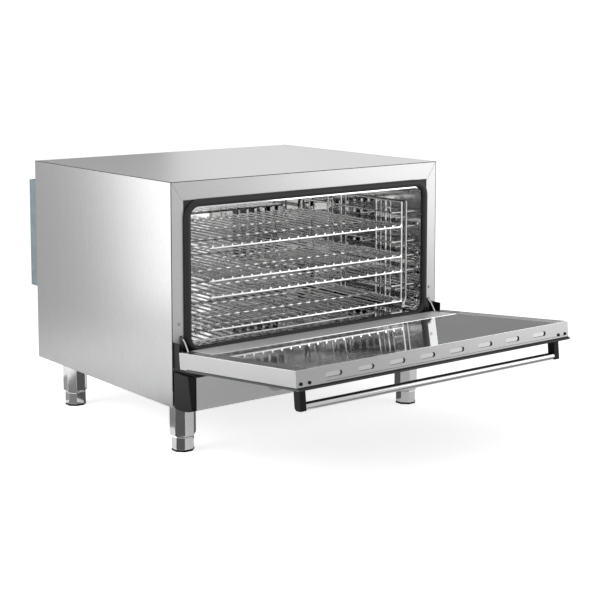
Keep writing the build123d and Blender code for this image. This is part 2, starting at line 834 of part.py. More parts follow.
# Door frame: a folded tray, open towards both panes of glass
shelf_depth = inner_glass_thickness + glass_seal_thickness
window_end = door_length - door_sheet
pocket_start = outer_glass_start + door_lip
bracket_x = door_half - bracket_inset - bracket_width / 2
cheek_offset = arm_thickness / 2 + cheek_gap + cheek_thickness / 2
hinge_notch = 2 * cheek_offset + 2 * cheek_thickness
guard_outer = half_width - guard_inset
guard_slot_inner = guard_outer - guard_thickness - glass_clearance
guard_slot_outer = door_half - door_sheet
with BuildPart() as door_frame:
    with BuildSketch(door_face(0)):
        with Locations((0, door_length / 2)):
            Rectangle(door_width, door_length)
    extrude(amount=door_depth)
    with BuildSketch(door_face(door_sheet)):
        with Locations((0, door_length / 2)):
            Rectangle(door_width - 2 * door_sheet, door_length - 2 * door_sheet)
    extrude(amount=door_depth - 2 * door_sheet, mode=Mode.SUBTRACT)
    with BuildSketch(door_face(door_depth - door_sheet)):
        with Locations((0, (pocket_start + door_length - door_lip) / 2)):
            Rectangle(door_width - 2 * door_lip, door_length - door_lip - pocket_start)
        for side, word in sides:
            with Locations((side * hinge_x, outer_glass_start / 2)):
                Rectangle(hinge_notch, outer_glass_start)
    extrude(amount=door_sheet, mode=Mode.SUBTRACT)
    with BuildSketch(door_face(0)):
        with Locations((0, (door_lower_rail + window_end) / 2)):
            Rectangle(2 * window_half, window_end - door_lower_rail)
        for side, word in sides:
            with Locations((side * hinge_x, arm_slot_along / 2)):
                Rectangle(arm_slot, arm_slot_along)
            with Locations((side * (guard_slot_inner + guard_slot_outer) / 2, guard_slot_along / 2)):
                Rectangle(guard_slot_outer - guard_slot_inner, guard_slot_along)
    extrude(amount=door_sheet, mode=Mode.SUBTRACT)
    with BuildSketch(door_face(0)):
        for side, word in sides:
            with Locations((side * hinge_x, door_sheet / 2)):
                Rectangle(arm_slot, door_sheet)
            with Locations((side * (guard_slot_inner + guard_slot_outer) / 2, door_sheet / 2)):
                Rectangle(guard_slot_outer - guard_slot_inner, door_sheet)
    extrude(amount=door_depth, mode=Mode.SUBTRACT)
    for side, word in sides:
        with BuildSketch(door_edge(window_end)):
            with Locations((side * (window_half + door_sheet / 2), (door_sheet + shelf_depth) / 2)):
                Rectangle(door_sheet, shelf_depth - door_sheet)
            shelf_x = window_half + door_sheet - glass_shelf / 2
            with Locations((side * shelf_x, shelf_depth + door_sheet / 2)):
                Rectangle(glass_shelf, door_sheet)
        extrude(amount=window_end - door_lower_rail)
    with BuildSketch(door_edge(door_length)) as door_frame_end:
        with Locations((0, door_depth / 2)):
            with GridLocations(vent_pitch, 0, vent_count, 1):
                Rectangle(vent_length, vent_height)
        chamfer(door_frame_end.vertices(), vent_corner)
        for side, word in sides:
            for inset in edge_screw_insets:
                with Locations((side * (door_half - inset), edge_screw_depth)):
                    RegularPolygon(screw_hole, bolt_sides, False)
    extrude(amount=door_sheet, mode=Mode.SUBTRACT)
save(door_frame.part, "door_frame")

with BuildPart() as outer_glass:
    with BuildSketch(door_face(door_depth)):
        with Locations((0, (outer_glass_start + glass_end) / 2)):
            Rectangle(door_width - 2 * outer_glass_inset, glass_end - outer_glass_start)
        with Locations((-bracket_x, bar_along), (bracket_x, bar_along)):
            RegularPolygon(screw_hole, bolt_sides, False, mode=Mode.SUBTRACT)
    extrude(amount=outer_glass_thickness)
save(outer_glass.part, "outer_glass")

glass_start = door_lower_rail + glass_clearance
inner_glass_end = window_end - seat_gap
with BuildPart() as inner_glass:
    with BuildSketch(door_face(0)):
        with Locations((0, (glass_start + inner_glass_end) / 2)):
            Rectangle(2 * (window_half - glass_clearance), inner_glass_end - glass_start)
    extrude(amount=inner_glass_thickness)
save(inner_glass.part, "inner_glass")

with BuildPart() as glass_seal:
    with BuildSketch(door_edge(inner_glass_end)):
        for side, word in sides:
            with Locations((side * (window_half - glass_clearance / 2), shelf_depth / 2)):
                Rectangle(glass_clearance, shelf_depth)
            seal_x = window_half - (glass_shelf - door_sheet) / 2
            seal_w = shelf_depth - glass_seal_thickness / 2
            with Locations((side * seal_x, seal_w)):
                Rectangle(glass_shelf - door_sheet, glass_seal_thickness)
    extrude(amount=inner_glass_end - glass_start)
save(glass_seal.part, "glass_seal")

# Handle: a round bar between two moulded brackets
bracket_face = glass_outer + bracket_stand
bracket_front = bar_along + bar_radius
bar_half = bracket_x - bracket_width / 2
for side, word in sides:
    with BuildPart() as handle_bracket:
        with BuildSketch(door_side(side * bracket_x - bracket_width / 2)) as outline:
            with Locations((bracket_front - bracket_length / 2, (glass_outer + bracket_face) / 2)):
                Rectangle(bracket_length, bracket_stand)
            fillet(outline.vertices().sort_by(Axis.Y)[-2:].sort_by(Axis.X)[:1], bracket_corner)
        extrude(amount=bracket_width)
        with BuildSketch(door_side(side * bar_half)):
            with Locations((bar_along, bar_depth)):
                RegularPolygon(spigot_radius + running_clearance, post_sides, False)
        extrude(amount=side * (spigot_length + seat_gap), mode=Mode.SUBTRACT)
        with BuildSketch(door_face(glass_outer)):
            with Locations((side * bracket_x, bar_along)):
                RegularPolygon(screw_radius + running_clearance, bolt_sides, False)
        extrude(amount=screw_length, mode=Mode.SUBTRACT)
    save(handle_bracket.part, "handle_bracket_" + word)

with BuildPart() as handle_bar:
    with BuildSketch(door_side(-bar_half)):
        with Locations((bar_along, bar_depth)):
            Circle(bar_radius)
    extrude(amount=2 * bar_half)
    with BuildSketch(door_side(-bar_half - spigot_length)):
        with Locations((bar_along, bar_depth)):
            RegularPolygon(spigot_radius, post_sides)
    extrude(amount=2 * (bar_half + spigot_length))
save(handle_bar.part, "handle_bar")

# Hinges: an arm hooked into the case on each side, and a channel in the door
for side, word in sides:
    with BuildPart() as hinge_arm:
        with BuildSketch(across(side * hinge_x - arm_thickness / 2)):
            arm_low = hinge_slot_bottom + (hinge_slot_height - arm_height) / 2
            Polygon(
                (arm_reach, arm_low),
                (arm_reach, arm_low + arm_height),
                (-arm_heel, arm_low + arm_height),
                (-arm_knee_reach, arm_low + arm_height - arm_shoulder_drop),
                (pivot_y - arm_nose, pivot_height + arm_toe_rise),
                (pivot_y, pivot_height - arm_heel),
                (pivot_y + arm_boss, pivot_height - arm_heel),
                (-arm_knee_reach, arm_low),
                align=None,
            )
            with Locations((pivot_y, pivot_height)):
                RegularPolygon(arm_boss, small_sides)
            with Locations((pivot_y, pivot_height), (receiver_pin_depth, arm_low + arm_height / 2)):
                RegularPolygon(pin_hole, small_sides, False, mode=Mode.SUBTRACT)
        extrude(amount=arm_thickness)
    save(hinge_arm.part, "hinge_arm_" + word)

    with BuildPart() as door_hinge:
        for cheek in (-1, 1):
            with BuildSketch(door_side(side * hinge_x + cheek * cheek_offset - cheek_thickness / 2)):
                with Locations((pivot_along + cheek_length / 2, (door_sheet + pivot_depth) / 2)):
                    Rectangle(cheek_length, pivot_depth - door_sheet)
                with Locations((pivot_along, pivot_depth)):
                    RegularPolygon(cheek_boss, small_sides)
                    RegularPolygon(pin_hole, small_sides, False, mode=Mode.SUBTRACT)
            extrude(amount=cheek_thickness)
        with BuildSketch(door_face(pivot_depth - cheek_thickness)):
            web_end = pivot_along + cheek_length
            with Locations((side * hinge_x, (web_start + web_end) / 2)):
                Rectangle(2 * cheek_offset, web_end - web_start)
        extrude(amount=cheek_thickness)
    save(door_hinge.part, "door_hinge_" + word)

with BuildPart() as hinge_pins:
    pin_length = 2 * cheek_offset + 2 * cheek_thickness
    for side, word in sides:
        with BuildSketch(door_side(side * hinge_x - pin_length / 2)):
            with Locations((pivot_along, pivot_depth)):
                Circle(hinge_pin_radius)
        extrude(amount=pin_length)
save(hinge_pins.part, "hinge_pins")

receiver_inner = half_width - receiver_insets[1]
receiver_outer = half_width - receiver_insets[0]
receiver_bottom = hinge_slot_bottom - receiver_drop
with BuildPart() as hinge_receivers:
    for side, word in sides:
        with BuildSketch(facing(frame_thickness + receiver_thickness)):
            middle_x = side * (receiver_inner + receiver_outer) / 2
            with Locations((middle_x, receiver_bottom + receiver_height / 2)):
                Rectangle(receiver_outer - receiver_inner, receiver_height)
            with Locations((side * hinge_x, hinge_slot_bottom + hinge_slot_height / 2)):
                Rectangle(arm_thickness + 2 * seat_gap, hinge_slot_height, mode=Mode.SUBTRACT)
            with Locations((side * jamb_screw_x, jamb_screw_height)):
                RegularPolygon(screw_hole, bolt_sides, False, mode=Mode.SUBTRACT)
        extrude(amount=receiver_thickness)
        for cheek in (-1, 1):
            cheek_x = side * hinge_x + cheek * (arm_thickness / 2 + seat_gap + receiver_thickness / 2)
            with BuildSketch(across(cheek_x - receiver_thickness / 2)):
                with Locations(
                    (frame_thickness + receiver_depth / 2, hinge_slot_bottom + hinge_slot_height / 2)
                ):
                    Rectangle(receiver_depth, hinge_slot_height)
            extrude(amount=receiver_thickness)
        pin_reach = arm_thickness / 2 + seat_gap + receiver_thickness + receiver_pin_overhang
        with BuildSketch(across(side * hinge_x - pin_reach)):
            with Locations((receiver_pin_depth, hinge_slot_bottom + hinge_slot_height / 2)):
                RegularPolygon(hinge_pin_radius, post_sides)
        extrude(amount=2 * pin_reach)
save(hinge_receivers.part, "hinge_receivers")

with BuildPart() as hinge_guards:
    for side, word in sides:
        with BuildSketch(across(side * (guard_outer - guard_thickness / 2) - guard_thickness / 2)):
            with Locations((-guard_depth / 2, (guard_bottom + guard_top) / 2)):
                Rectangle(guard_depth, guard_top - guard_bottom)
        extrude(amount=guard_thickness)
save(hinge_guards.part, "hinge_guards")

# Control panel with its end caps, controls and knobs
panel_half = half_width - cap_width
panel_height = panel_top - panel_bottom
panel_middle = (panel_top + panel_bottom) / 2
with BuildPart() as control_panel:
    with BuildSketch(across(-panel_half)):
        with Locations((-panel_stand / 2, panel_middle)):
            Rectangle(panel_stand, panel_height)
            Rectangle(panel_stand - 2 * sheet, panel_height - 2 * sheet, mode=Mode.SUBTRACT)
        with Locations((-sheet / 2, panel_middle)):
            Rectangle(sheet, panel_height - 2 * cover_flange, mode=Mode.SUBTRACT)
    extrude(amount=2 * panel_half)
    with BuildSketch(facing(sheet - panel_stand)):
        with Locations((-knob_offset, knob_height), (knob_offset, knob_height)):
            RegularPolygon(spindle_radius + spindle_hole_clearance, post_sides, False)
        with Locations((-lamp_offset, knob_height), (lamp_offset, knob_height)):
            RegularPolygon(indicator_radius + screw_clearance, small_sides, False)
    extrude(amount=sheet, mode=Mode.SUBTRACT)
save(control_panel.part, "control_panel")

cap_top = panel_top + cap_rise
for side, word in sides:
    outer_x = side * half_width
    inner_x = side * panel_half
    with BuildPart() as panel_end_cap:
        with BuildSketch(across(min(outer_x, inner_x))):
            with BuildLine():
                heel = (-cap_standoff, cap_heel)
                toe = (-panel_stand, panel_bottom)
                Polyline(heel, (-cap_standoff, cap_top), (-panel_stand, cap_top), toe)
                ThreePointArc(toe, (-cap_belly_reach, cap_belly), heel)
            make_face()
        extrude(amount=cap_width)
        with BuildSketch(across(min(inner_x, inner_x + side * cap_tongue))):
            with Locations((-cap_standoff / 2, panel_middle)):
                Rectangle(cap_standoff, panel_height - 2 * cap_tongue_inset)
        extrude(amount=cap_tongue)
        high = leg_height + cap_top
        front = front_y - panel_stand
        corner = Vector(outer_x, front, leg_height + panel_bottom)
        to_side = Vector(outer_x, front + cap_chamfer, high) - corner
        to_front = Vector(inner_x, front, high) - corner
        slant = Plane(origin=corner, x_dir=to_side, z_dir=to_side.cross(to_front) * side)
        split(bisect_by=slant, keep=Keep.BOTTOM)
    save(panel_end_cap.part, "panel_end_cap_" + word)

inside_panel = sheet - panel_stand
spindle_back = inside_panel + spindle_reach
spindle_hole = spindle_radius + running_clearance
controls = ((-knob_offset, "temperature_knob"), (knob_offset, "timer_knob"))
for knob_x, name in controls:
    with BuildPart() as knob:
        with BuildSketch(facing(-panel_stand - seat_gap)):
            with Locations((knob_x, knob_height)):
                RegularPolygon(knob_skirt_radius, large_sides)
        extrude(amount=knob_skirt_thickness)
        grip_start = -panel_stand - seat_gap - knob_skirt_thickness
        with BuildSketch(facing(grip_start)):
            with Locations((knob_x, knob_height)):
                RegularPolygon(knob_grip_radius, large_sides)
                with GridLocations(2 * knob_grip_radius, 0, 2, 1):
                    Rectangle(knob_grip_radius, 2 * knob_grip_radius, mode=Mode.SUBTRACT)
        extrude(amount=knob_grip_depth)
        with BuildSketch(facing(spindle_back)):
            with Locations((knob_x, knob_height)):
                Circle(spindle_radius)
        extrude(amount=spindle_back + panel_stand + seat_gap)
    save(knob.part, name)

with BuildPart() as thermostat_body:
    with BuildSketch(facing(inside_panel + control_depth)):
        with Locations((-knob_offset, knob_height)):
            Rectangle(thermostat_width, thermostat_height)
    extrude(amount=control_depth)
    with BuildSketch(facing(spindle_back + seat_gap)):
        with Locations((-knob_offset, knob_height)):
            RegularPolygon(spindle_hole, small_sides, False)
    extrude(amount=control_depth, mode=Mode.SUBTRACT)
save(thermostat_body.part, "thermostat_body")

with BuildPart() as timer_body:
    with BuildSketch(facing(inside_panel + control_depth)):
        with Locations((knob_offset, knob_height)):
            RegularPolygon(timer_radius, large_sides)
    extrude(amount=control_depth)
    with BuildSketch(facing(spindle_back + seat_gap)):
        with Locations((knob_offset, knob_height)):
            RegularPolygon(spindle_hole, small_sides, False)
    extrude(amount=control_depth, mode=Mode.SUBTRACT)
save(timer_body.part, "timer_body")

with BuildPart() as indicator_lamps:
    for lamp_x in (-lamp_offset, lamp_offset):
        with BuildSketch(facing(inside_panel + indicator_body_length)):
            with Locations((lamp_x, knob_height)):
                RegularPolygon(indicator_body_radius, post_sides)
        extrude(amount=indicator_body_length)
        with BuildSketch(facing(inside_panel)):
            with Locations((lamp_x, knob_height)):
                RegularPolygon(indicator_radius, small_sides)
        extrude(amount=sheet + indicator_stand)
    chamfer(indicator_lamps.faces().sort_by(Axis.Y)[:2].edges(), indicator_bevel)
save(indicator_lamps.part, "indicator_lamps")

# Cable gland through the back panel
with BuildPart() as cable_gland:
    with BuildSketch(facing(body_depth + gland_hex_thickness)):
        with Locations((gland_x, gland_height)):
            RegularPolygon(gland_hex, 6)
    extrude(amount=gland_hex_thickness)
    with BuildSketch(facing(body_depth + gland_hex_thickness + gland_nut_length)):
        with Locations((gland_x, gland_height)):
            RegularPolygon(gland_nut_radius, small_sides)
    extrude(amount=gland_nut_length)
    chamfer(cable_gland.faces().sort_by(Axis.Y)[-1].edges(), gland_bevel)
    with BuildSketch(facing(body_depth)):
        with Locations((gland_x, gland_height)):
            RegularPolygon(gland_thread_radius, small_sides)
    extrude(amount=gland_inside)
    with BuildSketch(facing(body_depth + gland_hex_thickness + gland_nut_length)):
        with Locations((gland_x, gland_height)):
            Circle(gland_bore)
    extrude(amount=body_depth, mode=Mode.SUBTRACT)
save(cable_gland.part, "cable_gland")

# Legs: eight-sided posts bolted through the base, with feet that screw out of them
with BuildPart() as legs:
    with BuildSketch(level(-leg_post)):
        with Locations(*leg_places):
            RegularPolygon(leg_flats / 2, 8, major_radius=False, rotation=22.5)
    extrude(amount=leg_post)
    with BuildSketch(level(0)):
        with Locations(*leg_places):
            RegularPolygon(stud_radius, post_sides)
    extrude(amount=stud_length)
    with BuildSketch(level(-leg_post)):
        with Locations(*leg_places):
            RegularPolygon(foot_stem_radius + stem_clearance, post_sides, False)
    extrude(amount=foot_stem_length + foot_flange_height, mode=Mode.SUBTRACT)
save(legs.part, "legs")

with BuildPart() as leg_nuts:
    with BuildSketch(level(sheet)):
        with Locations(*leg_places):
            RegularPolygon(nut_flats / 2, 6, major_radius=False)
            RegularPolygon(stud_radius + running_clearance, post_sides, False, mode=Mode.SUBTRACT)
    extrude(amount=nut_height)
save(leg_nuts.part, "leg_nuts")

foot_words = ("front_left", "front_right", "back_left", "back_right")
for place, word in zip(leg_places, foot_words):
    with BuildPart() as foot:
        with BuildSketch(level(-leg_height)):
            with Locations(place):
                RegularPolygon(foot_flats / 2, 8, major_radius=False, rotation=22.5)
        extrude(amount=leg_height - leg_post - seat_gap)
        chamfer(foot.faces().sort_by(Axis.Z)[0].edges(), foot_flange_height / 2)
        with BuildSketch(level(-leg_post - seat_gap)):
            with Locations(place):
                RegularPolygon(foot_stem_radius, post_sides)
        extrude(amount=foot_stem_length)
    save(foot.part, "foot_" + word)

# Screws: at the door's free edge and behind its handle, and in the case
with BuildPart() as door_screws:
    for side, word in sides:
        screws = [(side * (door_half - inset), edge_screw_depth) for inset in edge_screw_insets]
        with BuildSketch(door_edge(door_length + screw_head_height)):
            with Locations(*screws):
                RegularPolygon(screw_head_radius, bolt_sides)
        extrude(amount=screw_head_height)
        with BuildSketch(door_edge(door_length)):
            with Locations(*screws):
                RegularPolygon(screw_radius, bolt_sides)
        extrude(amount=screw_length)
        with BuildSketch(door_face(door_depth - screw_head_height)):
            with Locations((side * bracket_x, bar_along)):
                RegularPolygon(screw_head_radius, bolt_sides)
        extrude(amount=screw_head_height)
        with BuildSketch(door_face(door_depth)):
            with Locations((side * bracket_x, bar_along)):
                RegularPolygon(screw_radius, bolt_sides)
        extrude(amount=outer_glass_thickness + screw_length - seat_gap)
save(door_screws.part, "door_screws")

with BuildPart() as case_screws:
    for side, word in sides:
        with BuildSketch(facing(0)):
            with Locations((side * jamb_screw_x, jamb_screw_height)):
                RegularPolygon(screw_head_radius, bolt_sides)
        extrude(amount=screw_head_height)
        with BuildSketch(facing(screw_length)):
            with Locations((side * jamb_screw_x, jamb_screw_height)):
                RegularPolygon(screw_radius, bolt_sides)
        extrude(amount=screw_length)
        screws = [(side * (inner_half - panel_flange / 2), height) for height in back_screw_heights]
        with BuildSketch(facing(body_depth + screw_head_height)):
            with Locations(*screws):
                RegularPolygon(screw_head_radius, bolt_sides)
        extrude(amount=screw_head_height)
        with BuildSketch(facing(body_depth)):
            with Locations(*screws):
                RegularPolygon(screw_radius, bolt_sides)
        extrude(amount=screw_length)
save(case_screws.part, "case_screws")
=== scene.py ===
import json
import math

import bmesh
import bpy
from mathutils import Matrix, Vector


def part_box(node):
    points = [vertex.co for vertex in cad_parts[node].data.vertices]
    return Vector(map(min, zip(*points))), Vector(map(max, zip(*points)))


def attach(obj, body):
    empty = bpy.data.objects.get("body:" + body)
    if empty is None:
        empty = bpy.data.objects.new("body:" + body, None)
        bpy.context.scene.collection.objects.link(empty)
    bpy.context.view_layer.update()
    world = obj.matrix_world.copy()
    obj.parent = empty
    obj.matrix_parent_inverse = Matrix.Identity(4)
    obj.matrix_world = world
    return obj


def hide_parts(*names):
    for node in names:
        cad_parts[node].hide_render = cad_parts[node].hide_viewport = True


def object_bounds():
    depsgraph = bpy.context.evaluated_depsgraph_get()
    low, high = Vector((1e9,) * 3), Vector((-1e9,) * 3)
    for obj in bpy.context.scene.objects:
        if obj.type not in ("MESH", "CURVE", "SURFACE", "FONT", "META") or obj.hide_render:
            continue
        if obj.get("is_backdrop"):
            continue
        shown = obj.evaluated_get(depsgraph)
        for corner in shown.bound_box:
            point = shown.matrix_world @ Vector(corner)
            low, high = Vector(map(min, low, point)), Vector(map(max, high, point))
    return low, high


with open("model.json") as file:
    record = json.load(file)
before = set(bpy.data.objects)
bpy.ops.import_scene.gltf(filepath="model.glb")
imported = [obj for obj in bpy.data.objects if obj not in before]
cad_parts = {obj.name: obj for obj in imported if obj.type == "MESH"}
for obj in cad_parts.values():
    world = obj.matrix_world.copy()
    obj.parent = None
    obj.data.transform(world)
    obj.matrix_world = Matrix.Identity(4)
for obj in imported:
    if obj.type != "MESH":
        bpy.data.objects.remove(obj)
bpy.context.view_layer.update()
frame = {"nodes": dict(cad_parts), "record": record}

# The body's front face and underside in metres, as the CAD places them, and millimetres in a metre
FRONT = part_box("front_frame")[0].y
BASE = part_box("base_pan")[0].z
MM = 1000


def at(x, depth, height):
    """A place from millimetres across, behind the front face and above the underside."""
    return Vector((x / MM, FRONT + depth / MM, BASE + height / MM))


def steps(start, end, count):
    """Evenly spaced values, both ends among them."""
    return [start + (end - start) * step / (count - 1) for step in range(count)]


def placed(name, data):
    """A new object in the scene."""
    made = bpy.data.objects.new(name, data)
    bpy.context.scene.collection.objects.link(made)
    return made


# Camera, placed by the photograph's perspective
CAMERA_PLACE = (-2.217, -2.948, 1.0277)
CAMERA_AZIMUTH = math.radians(-37.61)
CAMERA_ELEVATION = math.radians(6.225)
CAMERA_SENSOR = 36
CAMERA_LENS = 86.75
CAMERA_SHIFT = -0.2
CAMERA_REACH = 50
camera_data = bpy.data.cameras.new("camera")
camera_data.sensor_width = CAMERA_SENSOR
camera_data.lens = CAMERA_LENS
camera_data.shift_y = CAMERA_SHIFT
camera_data.clip_end = CAMERA_REACH
camera = placed("camera", camera_data)
camera.location = CAMERA_PLACE
back = Vector(
    (
        math.sin(CAMERA_AZIMUTH) * math.cos(CAMERA_ELEVATION),
        -math.cos(CAMERA_AZIMUTH) * math.cos(CAMERA_ELEVATION),
        math.sin(CAMERA_ELEVATION),
    )
)
camera.rotation_mode = "QUATERNION"
camera.rotation_quaternion = (-back).to_track_quat("-Z", "Y")
bpy.context.scene.camera = camera
bpy.context.scene.view_settings.view_transform = "Standard"

# World: white to the camera, in reflections and through glass, a plain level elsewhere
WHITE = (1, 1, 1, 1)
WORLD_LIGHT = 0.4
WORLD_WHITE = 1.0
world = bpy.data.worlds.new("studio")
bpy.context.scene.world = world
world.use_nodes = True
nodes = world.node_tree.nodes
links = world.node_tree.links
nodes.clear()


def background(strength):
    """A white background of one strength."""
    made = nodes.new("ShaderNodeBackground")
    made.inputs["Color"].default_value = WHITE
    made.inputs["Strength"].default_value = strength
    return made


def either(first, second):
    """The larger of two outputs."""
    made = nodes.new("ShaderNodeMath")
    made.operation = "MAXIMUM"
    links.new(first, made.inputs[0])
    links.new(second, made.inputs[1])
    return made.outputs[0]


path = nodes.new("ShaderNodeLightPath")
seen = either(path.outputs["Is Camera Ray"], path.outputs["Is Glossy Ray"])
seen = either(seen, path.outputs["Is Transmission Ray"])
mix = nodes.new("ShaderNodeMixShader")
links.new(seen, mix.inputs[0])
links.new(background(WORLD_LIGHT).outputs[0], mix.inputs[1])
links.new(background(WORLD_WHITE).outputs[0], mix.inputs[2])
output = nodes.new("ShaderNodeOutputWorld")
links.new(mix.outputs[0], output.inputs["Surface"])


def area_light(name, place, target, size, power):
    """A soft rectangular lamp that the camera doesn't see."""
    data = bpy.data.lights.new(name, "AREA")
    data.shape = "RECTANGLE"
    data.size = size[0]
    data.size_y = size[1]
    data.energy = power
    light = placed(name, data)
    light.location = place
    light.visible_camera = False
    light.rotation_mode = "QUATERNION"
    light.rotation_quaternion = (Vector(target) - Vector(place)).to_track_quat("-Z", "Y")


area_light("left", place=(-1.35, 0.5, 0.62), target=(-0.42, 0.05, 0.35), size=(1.4, 1.15), power=14)
area_light("right", place=(2.5, -2.15, 0.85), target=(0.3, -0.2, 0.35), size=(1.9, 1.65), power=18)
area_light("top", place=(-0.3, -0.6, 2.8), target=(0, 0.1, 0.3), size=(2.0, 2.0), power=9)

# Materials
METAL = 1.0
NO_METAL = 0.0
UPRIGHT_GRAIN = (900, 900, 12)
LEVEL_GRAIN = (12, 900, 900)
LEG_GRAIN = (900, 900, 30)
BAR_GRAIN = (30, 900, 900)
GRAIN_DETAIL = 4.0
GRAIN_DARK, GRAIN_LIGHT = 0.3, 0.7
GRAIN_DEPTH = 0.001
GLOSS_SWING = 0.02
SOFT_EDGE = 0.0008
EDGE_SAMPLES = 4


def material(name, colour, metallic, roughness):
    made = bpy.data.materials.new(name)
    made.use_nodes = True
    tree = made.node_tree
    shader = tree.nodes["Principled BSDF"]
    shader.inputs["Base Color"].default_value = (*colour, 1)
    shader.inputs["Metallic"].default_value = metallic
    shader.inputs["Roughness"].default_value = roughness
    return made, tree, shader


def grained(
    name, colour, metallic, roughness, stretch, depth=0.01, spread=0.025, edge=SOFT_EDGE, specular=None
):
    """Fine lines or specks: noise stretched by the three scales, in colour, gloss and bump."""
    made, tree, shader = material(name, colour, metallic, roughness)
    if specular is not None:
        shader.inputs["Specular IOR Level"].default_value = specular
    coords = tree.nodes.new("ShaderNodeTexCoord")
    mapping = tree.nodes.new("ShaderNodeMapping")
    mapping.inputs["Scale"].default_value = stretch
    tree.links.new(coords.outputs["Object"], mapping.inputs["Vector"])
    noise = tree.nodes.new("ShaderNodeTexNoise")
    noise.inputs["Scale"].default_value = 1.0
    noise.inputs["Detail"].default_value = GRAIN_DETAIL
    tree.links.new(mapping.outputs[0], noise.inputs["Vector"])
    ramp = tree.nodes.new("ShaderNodeValToRGB")
    dark, light = ramp.color_ramp.elements
    dark.position = GRAIN_DARK
    light.position = GRAIN_LIGHT
    dark.color = (*[channel * (1 - spread) for channel in colour], 1)
    light.color = (*[min(1, channel * (1 + spread)) for channel in colour], 1)
    tree.links.new(noise.outputs["Fac"], ramp.inputs[0])
    tree.links.new(ramp.outputs[0], shader.inputs["Base Color"])
    gloss = tree.nodes.new("ShaderNodeMapRange")
    gloss.inputs["To Min"].default_value = max(GLOSS_SWING, roughness - GLOSS_SWING)
    gloss.inputs["To Max"].default_value = roughness + GLOSS_SWING
    tree.links.new(noise.outputs["Fac"], gloss.inputs["Value"])
    tree.links.new(gloss.outputs[0], shader.inputs["Roughness"])
    bump = tree.nodes.new("ShaderNodeBump")
    bump.inputs["Strength"].default_value = depth
    bump.inputs["Distance"].default_value = GRAIN_DEPTH
    tree.links.new(noise.outputs["Fac"], bump.inputs["Height"])
    tree.links.new(bump.outputs[0], shader.inputs["Normal"])
    if edge:
        bevel = tree.nodes.new("ShaderNodeBevel")
        bevel.samples = EDGE_SAMPLES
        bevel.inputs["Radius"].default_value = edge
        tree.links.new(bevel.outputs[0], bump.inputs["Normal"])
    return made


def even(scale):
    """The same noise scale in the three directions."""
    return (scale, scale, scale)


# Painted light: the body's one stainless steel comes as lighter and darker copies, each set to the tone
# its face takes under the studio light, the top lightest
side_steel = grained("side_steel", (0.35, 0.35, 0.353), METAL, 0.27, UPRIGHT_GRAIN)
lit_top_steel = grained("lit_top_steel", (0.60, 0.60, 0.603), METAL, 0.36, LEVEL_GRAIN)
front_steel = grained("front_steel", (0.42, 0.42, 0.423), METAL, 0.30, LEVEL_GRAIN)
door_steel = grained("door_steel", (0.33, 0.33, 0.333), METAL, 0.28, LEVEL_GRAIN)
panel_steel = grained("panel_steel", (0.48, 0.48, 0.483), METAL, 0.30, LEVEL_GRAIN)
pale_steel = grained("pale_steel", (0.72, 0.72, 0.72), 0.55, 0.45, LEVEL_GRAIN, edge=0)
leg_steel = grained("leg_steel", (0.50, 0.50, 0.50), METAL, 0.14, LEG_GRAIN)
leg_chrome = grained("chrome_leg", (0.60, 0.60, 0.60), METAL, 0.12, LEG_GRAIN)
bar_chrome = grained("bar_chrome", (0.50, 0.50, 0.51), METAL, 0.12, BAR_GRAIN, edge=0)
wire_chrome = grained("wire_chrome", (0.88, 0.88, 0.88), METAL, 0.12, even(200), edge=0)
polished = grained(
    "polished_steel", (0.76, 0.76, 0.755), METAL, 0.05, even(3), depth=0.0, spread=0.02, edge=0
)
zinc = grained("galvanised", (0.135, 0.175, 0.19), 0.35, 0.45, even(40), depth=0.05, spread=0.12)
moulded = grained(
    "black_moulded",
    (0.007, 0.007, 0.007),
    NO_METAL,
    0.42,
    even(900),
    depth=0.1,
    spread=0.2,
    specular=0.12,
)
rubber = grained(
    "seal_rubber",
    (0.018, 0.018, 0.019),
    NO_METAL,
    0.5,
    even(700),
    depth=0.1,
    spread=0.2,
    edge=0,
    specular=0.35,
)
gap_dark = grained(
    "seam_shadow", (0.03, 0.03, 0.03), NO_METAL, 0.8, even(300), depth=0.0, spread=0.1, edge=0
)
wool = grained("mineral_wool", (0.42, 0.38, 0.27), NO_METAL, 0.9, even(300), depth=0.4, spread=0.3)
sheath = grained("heater_sheath", (0.16, 0.15, 0.14), 0.6, 0.5, even(400), depth=0.1, spread=0.2)
motor = grained("motor_metal", (0.30, 0.30, 0.31), 0.7, 0.45, even(300), depth=0.1, spread=0.1)
ceramic = grained("ceramic", (0.78, 0.76, 0.72), NO_METAL, 0.3, even(200), depth=0.02, spread=0.05)
lens = grained("indicator_lens", (0.55, 0.09, 0.02), NO_METAL, 0.2, even(200), depth=0.02, spread=0.1)
mirror_glass = grained("coated_glass", (0.76, 0.77, 0.77), 0.9, 0.05, even(8), spread=0.04)
dark_glass = grained(
    "dark_glass", (0.012, 0.02, 0.018), NO_METAL, 0.04, even(8), depth=0.0, spread=0.1, edge=0
)
clear_glass, _, shader = material("clear_glass", (0.93, 0.97, 0.96), NO_METAL, 0.02)
shader.inputs["Transmission Weight"].default_value = 1.0
shader.inputs["IOR"].default_value = 1.5

